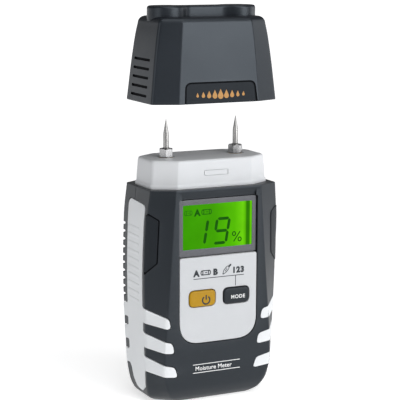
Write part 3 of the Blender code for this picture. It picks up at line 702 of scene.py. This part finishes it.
def make_shell(name, front):
    """One half of the housing: the hollow body cut at the seam, with its openings and pockets."""
    shell = paint(body_loft(name), DARK)

    def cut(cutter):
        combine(shell, cutter)

    cut(loft("room", [(height, body_corners(height, WALL)) for height in (2.4, 7, 16, 35, 57, 78, 90.2)]))
    cut(prism("opening", head_outline(0.35), "Z", 89.0, 95.0))
    low, high = (-FAR, SEAM_Y - SEAM_GAP) if front else (SEAM_Y + SEAM_GAP, FAR)
    combine(shell, prism("keep", box_outline((-FAR, low), (FAR, high)), "Z", -FAR, 150.0), "INTERSECT")
    if front:
        cut(prism("aperture", aperture_outline(25.9, 87.9, 18.4, 9.8), "Y", -20.0, -13.0))
        cut(prism("slope", ((-17.9, 91.2), (-17.9, 87.0), (-16.3, 87.0), (-16.3, 87.7)), "X", -17.2, 17.6))
    else:
        cut(prism("doorway", box_outline((-17.3, 18.0), (17.3, 70.5), 1.0, 4), "Y", 13.0, 22.0))
        for across in (-22.5, 22.5):
            for height in (14.0, 80.0):
                cut(turned("recess", ((2.5, 9.0), (2.5, 24.0)), (across, 0, height), "Y", 24))
    for side in (-1, 1):
        # The faces cut by the pocket round each grip and by the bed round each front pad are painted
        # near-black: painted shade in the gaps.
        pocket = bent_plate("pocket", grip_outline(side, 0.3), -0.9, 2.5, BODY_WRAP, side, cell=2.0)
        cut(paint(pocket, GROOVE_SHADE))
        if front:
            bed = bent_plate("pad_bed", pad_outline(0.5), -0.6, 1.5, BODY_WRAP, side, cell=2.0)
            cut(paint(bed, GROOVE_SHADE))
        else:
            bars = side_bars(RIB_LEVELS, (-17.5, -10.4), 0.7, 0.5, (-1.5, 1.5), BODY_WRAP, side, cell=1.5)
            cut(merge("notches", bars))
    even_out(shell)
    finish_piece(shell, DARK, "dark_plastic", "front_shell" if front else "rear_shell")


def make_side_trim():
    """The white grips, the low ribs on them and the dark pads before them."""
    for side, label in ((-1, "left"), (1, "right")):
        outline = grip_outline(side)
        grip = bent_plate(label + "_soft_grip", outline, -0.85, 0.14, BODY_WRAP, side, edge=0.35, cell=1.2)
        ribs = side_bars(RIB_LEVELS, (-6.6, 4.6), 0.75, 0.7, (-0.3, 0.27), BODY_WRAP, side, edge=0.2,
                         cell=2.4)
        finish_piece(merge(label + "_grip_ribs", ribs), GRIP_WHITE, "white_grip")
        finish_piece(grip, GRIP_WHITE, "white_grip", label + "_grip")
        outline = pad_outline(0.0)
        pad = bent_plate(label + "_front_pad", outline, -0.5, 0.26, BODY_WRAP, side, edge=0.3, cell=1.5)
        finish_piece(pad, DARK_PAD, "dark_plastic")


# ---- Head, nuts and pins ----
def make_head():
    """The white block, waisted at the housing's rim, with a dish under each nut and its catch plate."""
    low, high = octagon(*HEAD_LOW), octagon(*HEAD_HIGH)
    sections = []

    def add(height, share, distance):
        corners = [Vector(a).lerp(Vector(b), share) for a, b in zip(low, high)]
        sections.append((height, round_corners(inset(corners, distance), HEAD_RADII, 10)))

    for row in ((90.0, 0.0, 0.0), (92.6, 0.0, 0.0), (93.1, 0.0, 0.05), (93.5, 0.05, 0.3)):
        add(*row)
    waist, sink = 94.0, 0.36
    add(waist, 0.1, sink)
    for step in range(1, 8):
        add(waist + step * 1.2, 0.1 + 0.9 * step / 8, sink * (1 - step / 8))
    edge = 1.1
    for rise, run in rounded_edge(edge, 6, 0):
        add(HEAD_TOP - edge + rise, 1.0, run)
    head = loft("head", sections, 40)
    for side in (-1, 1):
        dish = turned("dish", ((3.7, HEAD_TOP - 0.25), (4.0, HEAD_TOP + 1.0)), (side * PIN_X, 0, 0))
        combine(head, dish)
    slot = box_outline((-5.2, 96.9), (6.2, 99.3), 0.5, 4)
    combine(head, prism("slot", slot, "Y", -16.0, -13.25))
    plate = prism("head_catch", box_outline((-4.95, 97.12), (4.9, 99.08), 0.4, 4), "Y", CATCH_FRONT, -13.2)
    even_out(head)
    finish_piece(head, WHITE, "white_plastic", "head_block")
    finish_piece(plate, WHITE, "white_plastic")


def make_nut(label, side, turn):
    """A hexagon nut, M3 size, whose upper and lower corners are chamfered by a cone."""
    outline = arc((0.0, 0.0), 5.5 / math.sqrt(3), turn, turn + 300, 5)
    low, high = HEAD_TOP + 0.05, HEAD_TOP + 3.6
    nut = prism(label + "_nut", round_corners(outline, (0.12,) * 6, 2), "Z", low, high)
    nut.data.transform(Matrix.Translation((side * PIN_X * MM, 0.0, 0.0)))
    profile = ((2.75, low - 0.01), (3.2, low + 0.3), (3.2, high - 0.35), (2.72, high + 0.01))
    combine(nut, turned("cone", profile, (side * PIN_X, 0, 0), sides=64), "INTERSECT")
    shade(nut, 20)
    finish_piece(nut, NUT_STEEL, "steel", label + "_hex_nut")


def make_pins():
    """Each pin with its nut: a thin collar, the shank and a long point."""
    base = HEAD_TOP + 3.5
    neck, neck_level, point = 1.12, 114.2, 5.8
    for side, label, turn in ((-1, "left", -115.0), (1, "right", -133.0)):
        make_nut(label, side, turn)
        profile = [(1.25, HEAD_TOP), (1.25, base), (1.55, base), (1.55, base + 0.25), (1.22, base + 0.55),
                   (1.2, neck_level - 0.6), (neck, neck_level)]
        for step in range(1, 7):
            share = step / 6
            profile.append((neck * (1 - share) ** 0.95 + 0.06 * share, neck_level + point * share))
        pin = turned(label + "_pin", profile, (side * PIN_X, 0, 0), smooth=25)
        finish_piece(pin, STEEL, "steel", label + "_electrode_pin")


# ---- Display ----
def stroke(points, width, depth):
    """A flat bar on the front between two points, with mitred ends."""
    start, end = Vector(points[0]), Vector(points[1])
    along = (end - start).normalized()
    across = Vector((-along.y, along.x)) * (width / 2)
    tip = along * (width / 2)
    outline = [start - tip * 0.2, start + tip * 0.8 - across, end - tip * 0.8 - across, end + tip * 0.2,
               end - tip * 0.8 + across, start + tip * 0.8 + across]
    return prism("stroke", outline, "Y", *depth)


# Which of a digit's bars are on, and where each bar runs: corners across and up, as whole steps.
SEGMENTS = {"1": "bc", "9": "abcdfg"}
BAR_ENDS = {
    "a": ((0, 2), (1, 2)), "b": ((1, 1), (1, 2)), "c": ((1, 0), (1, 1)), "d": ((0, 0), (1, 0)),
    "e": ((0, 0), (0, 1)), "f": ((0, 1), (0, 2)), "g": ((0, 1), (1, 1)),
}
BAR, BAR_GAP, SLANT = 1.25, 0.3, 0.17


def digit(character, left, low, width, height, depth):
    """Seven-segment digit leaning to the right."""
    columns = (BAR / 2, width - BAR / 2)
    levels = (low + BAR / 2, low + height / 2, low + height - BAR / 2)
    bars = []
    for key in SEGMENTS[character]:
        start, end = [Vector((left + columns[across] + (levels[up] - low) * SLANT, levels[up]))
                      for across, up in BAR_ENDS[key]]
        along = (end - start).normalized() * BAR_GAP
        bars.append(stroke((start + along, end - along), BAR, depth))
    return bars


def letters(name, text, size, left, low, depth, material, bold=0.0, spacing=1.0):
    """Flat print made from the built-in font, as a thin solid on the front."""
    curve = bpy.data.curves.new(name, "FONT")
    curve.body = text
    curve.size = size * MM
    curve.offset = bold * MM
    curve.space_character = spacing
    curve.extrude = 0.03 * MM
    curve.resolution_u = 4
    holder = add_object(name + "_curve", curve)
    bpy.context.view_layer.update()
    mesh = bpy.data.meshes.new_from_object(holder.evaluated_get(bpy.context.evaluated_depsgraph_get()))
    bpy.data.objects.remove(holder)
    for vert in mesh.vertices:
        x, y, z = vert.co
        vert.co = (left * MM + x, depth * MM - z, low * MM + y)
    return paint(add_object(name, mesh), material)


def log_icon(left, low, length, height, depth, material, line):
    """A sawn log lying on its side: two long lines, an oval at each end and a grain line."""
    parts = []
    middle = low + height / 2
    end = height * 0.3
    for level in (low + line / 2, low + height - line / 2):
        parts.append(stroke(((left + end, level), (left + length - height * 0.25, level)), line, depth))
    for centre in (left + end, left + length - end):
        parts.append(oval(centre, middle, end, height / 2, line, depth))
    parts.append(stroke(((left + length * 0.42, middle), (left + length * 0.66, middle)), line * 0.8, depth))
    return paint_all(parts, material)


def oval(centre, middle, half_width, half_height, line, depth, start=0.0, end=360.0, steps=28):
    """An elliptical stroke, closed or open."""
    shape = bmesh.new()
    rows = []
    closed = end - start >= 360.0
    for step in range(steps if closed else steps + 1):
        angle = math.radians(start + (end - start) * step / steps)
        row = []
        for grow, level in ((0, depth[0]), (0, depth[1]), (-line, depth[1]), (-line, depth[0])):
            across, rise = (half_width + grow) * math.cos(angle), (half_height + grow) * math.sin(angle)
            row.append(shape.verts.new((centre + across, level, middle + rise)))
        rows.append(row)
    for here, there in zip(rows, rows[1:] + rows[:1] if closed else rows[1:]):
        for index in range(4):
            following = (index + 1) % 4
            shape.faces.new((here[index], here[following], there[following], there[index]))
    if not closed:
        shape.faces.new(rows[0])
        shape.faces.new(list(reversed(rows[-1])))
    return make_object("oval", shape)


def make_display():
    """The grey window, the lit field behind it and the switched segments on the field."""
    window = prism("window_frame", aperture_outline(63.6, 87.6, 18.1, 0.9), "Y", WINDOW_FRONT, SEAT)
    view = box_outline((-VIEW_HALF, 66.5), (VIEW_HALF, 85.4), 0.5, 5)
    combine(window, prism("view", view, "Y", *PIERCE))
    soften(window, 0.12)
    finish_piece(window, FRAME_GREY, "grey_window", "display_window")
    lit = prism("lcd_field", box_outline((-16.9, 64.8), (16.9, 86.6), 0.2, 3), "Y", LIT_FRONT, -14.6)
    finish_piece(lit, LCD, "lcd_green", "lcd_glass")
    depth = (LIT_FRONT - 0.06, LIT_FRONT - 0.01)
    low, height = 67.7, 11.6
    dark = digit("1", -11.9, low, 6.2, height, depth) + digit("9", -2.6, low, 7.0, height, depth)
    dark += [oval(across, level, 0.95, 1.05, 0.45, depth) for across, level in ((7.8, 71.7), (10.5, 69.2))]
    dark.append(stroke(((7.6, 68.3), (10.7, 72.6)), 0.45, depth))
    finish_piece(merge("lcd_digits", paint_all(dark, SEGMENT)), None, "component_black")
    marks = [letters("lcd_a", "A", 3.7, -10.7, 80.7, LIT_FRONT - 0.04, SEGMENT, bold=0.2)]
    marks += log_icon(-7.6, 80.9, 4.9, 2.3, depth, GHOST_DARK, 0.4)
    marks += log_icon(-15.6, 81.0, 3.9, 2.2, depth, GHOST, 0.4)
    finish_piece(merge("lcd_marks", marks), None, "component_black")


# ---- Control panel and keys ----
KEYS = {"power": (-7.6, 45.45), "mode": (8.4, 45.35)}
KEY_HALF = (6.05, 3.4)
KEY_ROOM = 0.28                  # clearance between a key and its hole
KEY_FACE = -18.05
BLADE = ((1.9, 54.9), (2.4, 56.6), (4.0, 58.3), (5.0, 58.2), (4.7, 57.0), (3.2, 55.5), (1.9, 54.9))


def key_outline(centre, grow):
    across, level = KEY_HALF[0] + grow, KEY_HALF[1] + grow
    low, high = (centre[0] - across, centre[1] - level), (centre[0] + across, centre[1] + level)
    return box_outline(low, high, max(2.2 + grow, 0.3))


def make_panel():
    """The white panel with its two key holes and the print above them."""
    panel = prism("panel", aperture_outline(26.2, 63.25, 18.1, 9.5), "Y", PANEL_FRONT, SEAT)
    for centre in KEYS.values():
        combine(panel, prism("hole", key_outline(centre, KEY_ROOM), "Y", *PIERCE))
    soften(panel, 0.3, 3)
    finish_piece(panel, PANEL_WHITE, "white_plastic", "control_panel")
    depth = (PANEL_FRONT - 0.03, PANEL_FRONT + 0.02)
    marks = [
        letters("print_a", "A", 3.5, -11.6, 55.15, PANEL_FRONT, INK_BLACK, bold=0.24),
        letters("print_b", "B", 3.5, -2.55, 55.15, PANEL_FRONT, INK_BLACK, bold=0.24),
        letters("print_numbers", "123", 3.4, 6.4, 55.2, PANEL_FRONT, INK_BLACK, bold=0.22, spacing=1.17),
    ]
    marks += log_icon(-8.5, 55.3, 4.8, 2.2, depth, INK_BLACK, 0.42)
    trowel = [stroke(pair, 0.34, depth) for pair in zip(BLADE, BLADE[1:])]
    trowel += [
        stroke(((4.6, 57.9), (5.9, 59.0)), 0.8, depth),
        stroke(((2.9, 56.1), (4.0, 57.3)), 0.3, depth),
    ]
    rules = [stroke(ends, 0.3, depth) for ends in (((-11.8, 54.0), (12.0, 54.0)), ((8.0, 53.9), (8.0, 49.5)))]
    marks += paint_all(trowel + rules, INK_BLACK)
    finish_piece(merge("panel_print", marks), None, "component_black")


def make_lower_print():
    """Two thin lines with plain words between them."""
    depth = (LOWER_FRONT - 0.04, LOWER_FRONT + 0.3)
    rules = [stroke(((-11.9, level), (10.4, level)), 0.26, depth) for level in (13.3, 16.9)]
    words = letters("lower_words", "Moisture Meter", 2.6, -10.9, 14.25, LOWER_FRONT - 0.02, INK_WHITE,
                    bold=0.02, spacing=1.04)
    finish_piece(merge("lower_print", [*paint_all(rules, INK_WHITE), words]), None, "white_plastic")


def make_key(label, material, slot, body):
    """A key with a slightly crowned face and rounded edges."""
    centre = KEYS[label]
    shoulder, edge = -17.35, 0.65
    layers = [(0.0, -12.6), (0.0, shoulder)]
    layers += [(-run, shoulder - rise) for rise, run in rounded_edge(edge, 6)]
    layers += [(-1.3, KEY_FACE + 0.02), (-2.2, KEY_FACE)]
    rings = [[(p.x, level, p.y) for p in key_outline(centre, grow)] for grow, level in layers]
    key = make_object(label + "_key", ring_stack(rings), 40)
    finish_piece(key, material, slot, label + "_button", body=body)
    face = KEY_FACE - 0.01
    if label == "power":
        depth = (face - 0.02, face + 0.04)
        across, level = centre[0] + 1.5, centre[1] - 0.75
        marks = paint_all([oval(across, level, 2.0, 2.0, 0.62, depth, 125.0, 415.0, 36),
                           stroke(((across, level + 0.1), (across, level + 2.3)), 0.62, depth)], INK_BLACK)
    else:
        left, low = centre[0] - 2.8, centre[1] - 1.3
        marks = [letters("mode_word", "MODE", 2.25, left, low, face, INK_WHITE, bold=0.03, spacing=1.1)]
    finish_piece(merge(label + "_key_mark", marks), None, "component_black", body=body)


# ---- Cap ----
PLATFORM_TOP = 39.6
CAP_TOP = CAP_STATIONS[-1][0]


def platform_outline(grow):
    """Two round bosses over the pins joined by a bar, with fillets where they meet."""
    boss, boss_x, bar, fillet = 8.2 + grow, 16.2, 4.5 + grow, 6.0 - grow
    across = math.sqrt((boss + fillet) ** 2 - (bar + fillet) ** 2)
    fillet_x, fillet_y = boss_x - across, bar + fillet
    lean = math.degrees(math.atan2(fillet_y, across))
    half = (arc((boss_x, 0), boss, lean - 180, 180 - lean, 40)
            + arc((fillet_x, fillet_y), fillet, -lean, -90, 8)
            + arc((-fillet_x, fillet_y), fillet, -90, lean - 180, 8))
    return half + [-point for point in half]


def cap_shell():
    """The outside of the cap with its rounded shoulder, joined to the raised platform."""
    heights = [0.0, 0.08, 0.3, 0.7] + [1.5 + 1.75 * step for step in range(17)] + [31.0, 31.9]
    sections = [(CAP_BASE + height, ring(cap_corners(height, max(0.0, 0.3 - height) * 0.7), CAP_RADII))
                for height in heights]
    shoulder = 3.0
    for rise, run in rounded_edge(shoulder, 9):
        corners = cap_corners(CAP_TOP - shoulder, run * 0.95)
        sections.append((CAP_BASE + CAP_TOP - shoulder + rise, ring(corners, CAP_RADII)))
    shell = paint(loft("cap", sections, 40), DARK_CAP)
    edge = 1.2
    rings = [(33.0, 0.0), (PLATFORM_TOP - edge, 0.0)]
    rings += [(PLATFORM_TOP - edge + rise, -run) for rise, run in rounded_edge(edge, 5)]
    platform = loft("platform", [(CAP_BASE + height, platform_outline(grow)) for height, grow in rings], 40)
    combine(shell, paint(platform, DARK_CAP), "UNION")
    return shell


def make_cap():
    """The hollow cap with the measuring holes, the side grooves and the plaque."""
    cap = cap_shell()
    room = [(height, cap_corners(max(height, 0.0), 1.0 if height < 1 else 1.7))
            for height in (-2.0, 0.0, 20.0, 30.0)]
    room.append((32.6, cap_corners(31.5, 2.6)))
    combine(cap, loft("room", [(CAP_BASE + height, corners) for height, corners in room]))
    mouth = CAP_BASE + PLATFORM_TOP
    for side in (-1, 1):
        profile = ((2.3, CAP_BASE + 31.0), (2.3, mouth - 0.6), (2.9, mouth + 0.4))
        combine(cap, turned("hole", profile, (side * PIN_X, 0, 0)))
        levels = [3.0 + 3.68 * step for step in range(5)]
        # The side grooves' cut faces are painted near-black: painted shade in the grooves.
        for cutter in side_bars(levels, (-8.6, 7.4), 0.55, 0.5, (-0.6, 1.5), CAP_WRAP, side, cell=2.0):
            combine(cap, paint(cutter, GROOVE_SHADE))
    cut_plaque(cap)
    even_out(cap)
    finish_piece(cap, DARK_CAP, "dark_plastic", "cap_shell", body="cap")
    drops = []
    for step in range(-4, 5):
        outline = drop_outline(0.6 + step * 2.65, 3.5, 1.75 - 0.24 * abs(step))
        drops.append(front_solid("drop", outline, 0.25, 0.06))
    finish_piece(merge("cap_drops", paint_all(drops, INK_ORANGE)), None, "orange_plastic", body="cap")


def plaque_outline(grow):
    """The plaque seen from the front: across and above the rim, running out past the rim."""
    top = 8.6 + grow
    points = [(-15.6 - grow, -1.0), (17.7 + grow, -1.0), (16.4 + grow, top), (-15.2 - grow, top)]
    return round_corners(points, (0.1, 0.1, 2.7 + grow, 2.7 + grow))


def cut_plaque(cap):
    """A shallow plaque at the foot of the cap's front with a groove round it; the field is painted a little
    darker as shade and the groove near-black as shade.
    """
    half_groove = 0.35
    field = front_solid("field", plaque_outline(0.0), 0.10, -2.0)
    groove = front_solid("groove", plaque_outline(half_groove), 0.42, -2.0)
    kept = [Vector((p.x, p.y - 3.0 if p.y < 0 else p.y)) for p in plaque_outline(-half_groove)]
    combine(groove, front_solid("kept", kept, 1.5, -3.0))
    # The plaque's field is painted a little darker: painted shade.
    combine(cap, paint(field, PLAQUE_MATTE_SHADE))
    # The groove's cut faces are painted near-black: painted shade in the groove.
    combine(cap, paint(groove, GROOVE_SHADE))


def front_solid(name, outline, *depths):
    """A solid along the cap's sloping front, between two depths below its face."""
    fronts = [(p.x, -station_at(CAP_STATIONS, max(p.y, 0.0))[3], CAP_BASE + p.y) for p in outline]
    return make_object(name, ring_stack([[(x, y + depth, z) for x, y, z in fronts] for depth in depths]))


def drop_outline(centre, middle, size):
    """A plain drop: a round foot and a point."""
    points = arc((centre, middle - size * 0.3), size * 0.72, 150, 390, 14)
    points.append(Vector((centre, middle + size * 1.35)))
    return points


# ---- Rear ----
def make_rear():
    """The battery door with its thumb recess and grooves."""
    door = prism("door_panel", box_outline((-17.0, 18.3), (17.0, 70.2), 0.9, 4), "Y", 15.8, 17.95)
    combine(door, prism("thumb", box_outline((-7.0, 60.0), (7.0, 66.0), 2.9), "Y", 17.3, 19.0))
    for step in range(7):
        level = 24.0 + step * 2.2
        groove = box_outline((-9.0, level - 0.45), (9.0, level + 0.45), 0.44, 3)
        combine(door, prism("groove", groove, "Y", 17.55, 19.0))
    soften(door, 0.2)
    finish_piece(door, DARK, "dark_plastic", "battery_door", body="battery_cover")


# ---- Floor, light and camera ----
AIM = Vector((0.0, 0.0, 0.08))   # what the lights look at, in metres
FOCAL_WIDTHS = 3.59175           # the camera's focal length in widths of its picture
# Lights: azimuth and elevation in degrees, distance, width and height in metres, power in watts.
SOFTBOXES = {
    "front_right": (27.0, 5.0, 1.1, 0.75, 1.5, 12.2),
    "front_high": (0.0, 30.0, 1.0, 0.8, 0.6, 1.8),
    "right": (86.0, 5.0, 0.9, 0.4, 0.9, 1.6),
    "left": (-76.0, 12.0, 0.9, 0.5, 0.9, 1.9),
    "overhead": (10.0, 72.0, 1.0, 0.8, 0.8, 3.2),
}


def direction(azimuth, elevation):
    """From the object towards a place round it; azimuth 0 is straight in front."""
    level = math.cos(elevation)
    return Vector((math.sin(azimuth) * level, -math.cos(azimuth) * level, math.sin(elevation)))


def make_floor():
    """A pale floor that glows a little more behind the object and less before it."""
    material, graph, shader = new_material("pale_floor")
    ahead = -direction(CAMERA_AZIMUTH, 0.0)
    behind = graph.add("VectorMath", {0: graph.place, 1: ahead}, operation="DOT_PRODUCT").outputs["Value"]
    glow = graph.span(behind, 0.62, 1.05, 0.30, 1.4)
    graph.feed(shader, {
        "Base Color": graph.span(graph.noise(3.0, 2.0), 0.90, 0.93),
        "Roughness": 0.9,
        "Specular IOR Level": 0.1,
        "Emission Color": (1.0, 1.0, 1.0, 1.0),
        "Emission Strength": graph.times(glow, graph.span(behind, 0.3, 1.0, -0.25, 0.0)),
    })
    bpy.ops.mesh.primitive_plane_add(size=24.0, location=(0.0, 0.0, -0.0003))
    floor = bpy.context.object
    floor.name = "floor"
    floor.data.materials.append(material)


def make_lights():
    """Softboxes round the object and a world that is brighter near the horizon."""
    world = bpy.data.worlds.new("studio")
    bpy.context.scene.world = world
    world.use_nodes = True
    graph = Graph(world.node_tree, "Generated")
    rise = graph.add("SeparateXYZ", {"Vector": graph.place}).outputs["Z"]
    graph.feed(world.node_tree.nodes["Background"], {
        "Color": (0.97, 0.98, 1.0, 1.0),
        "Strength": graph.span(rise, 0.55, 0.12, 0.06, 0.26),
    })
    for name, (azimuth, elevation, distance, width, height, power) in SOFTBOXES.items():
        light = bpy.data.lights.new(name, "AREA")
        light.shape = "RECTANGLE"
        light.size, light.size_y, light.energy = width, height, power
        lamp = add_object(name, light)
        away = direction(math.radians(azimuth), math.radians(elevation))
        lamp.location = AIM + away * distance
        lamp.rotation_euler = (-away).to_track_quat("-Z", "Y").to_euler()


def make_camera():
    """The camera, a little off level."""
    camera = bpy.data.cameras.new("camera")
    holder = add_object("camera", camera)
    back = direction(CAMERA_AZIMUTH, CAMERA_ELEVATION)
    holder.location = Vector((0.0, 0.0, 0.08411)) + back * 0.6162
    holder.rotation_mode = "QUATERNION"
    roll = Quaternion((0.0, 0.0, 1.0), math.radians(0.242))
    holder.rotation_quaternion = (-back).to_track_quat("-Z", "Y") @ roll
    camera.sensor_width = 36.0
    camera.lens = camera.sensor_width * FOCAL_WIDTHS
    camera.shift_x = -0.002
    camera.clip_start, camera.clip_end = 0.01, 50.0
    bpy.context.scene.camera = holder
    bpy.context.scene.view_settings.view_transform = "Standard"


def numbered(name, count):
    return [f"{name}_{number}" for number in range(1, count + 1)]


PLAIN_FINISHES = {
    STEEL: ["left_board_screw", "right_board_screw", "capacitor", *numbered("housing_screw", 4),
            *numbered("battery_spring", 3), *numbered("battery_contact", 3)],
    BRASS: [side + what for side in ("left", "right")
            for what in ("_threaded_socket", "_electrode_contact", "_test_contact")],
    BOARD: ["main_board", "cap_test_board"],
    CHIP: ["microcontroller", "measuring_amplifier", "buzzer", "lcd_frame", "reference_resistor",
           "power_contact_pill", "mode_contact_pill"],
    SILICONE: ["keypad_mat", "lcd_connector_strip"],
    CELL: numbered("battery_cell", 3),
    WHITE: ["lcd_backlight"],
    DARK: ["battery_tray"],
}


def paint_inner_nodes():
    """Give the CAD nodes that stay in view their finishes."""
    for material, names in PLAIN_FINISHES.items():
        for name in names:
            paint(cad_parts[name], material)


make_shell("housing_front", True)
make_shell("housing_rear", False)
make_side_trim()
make_head()
make_pins()
make_display()
make_panel()
make_lower_print()
make_key("power", ORANGE, "orange_plastic", "power_key")
make_key("mode", KEY_DARK, "black_rubber", "mode_key")
make_cap()
make_rear()
paint_inner_nodes()
make_floor()
make_lights()
make_camera()
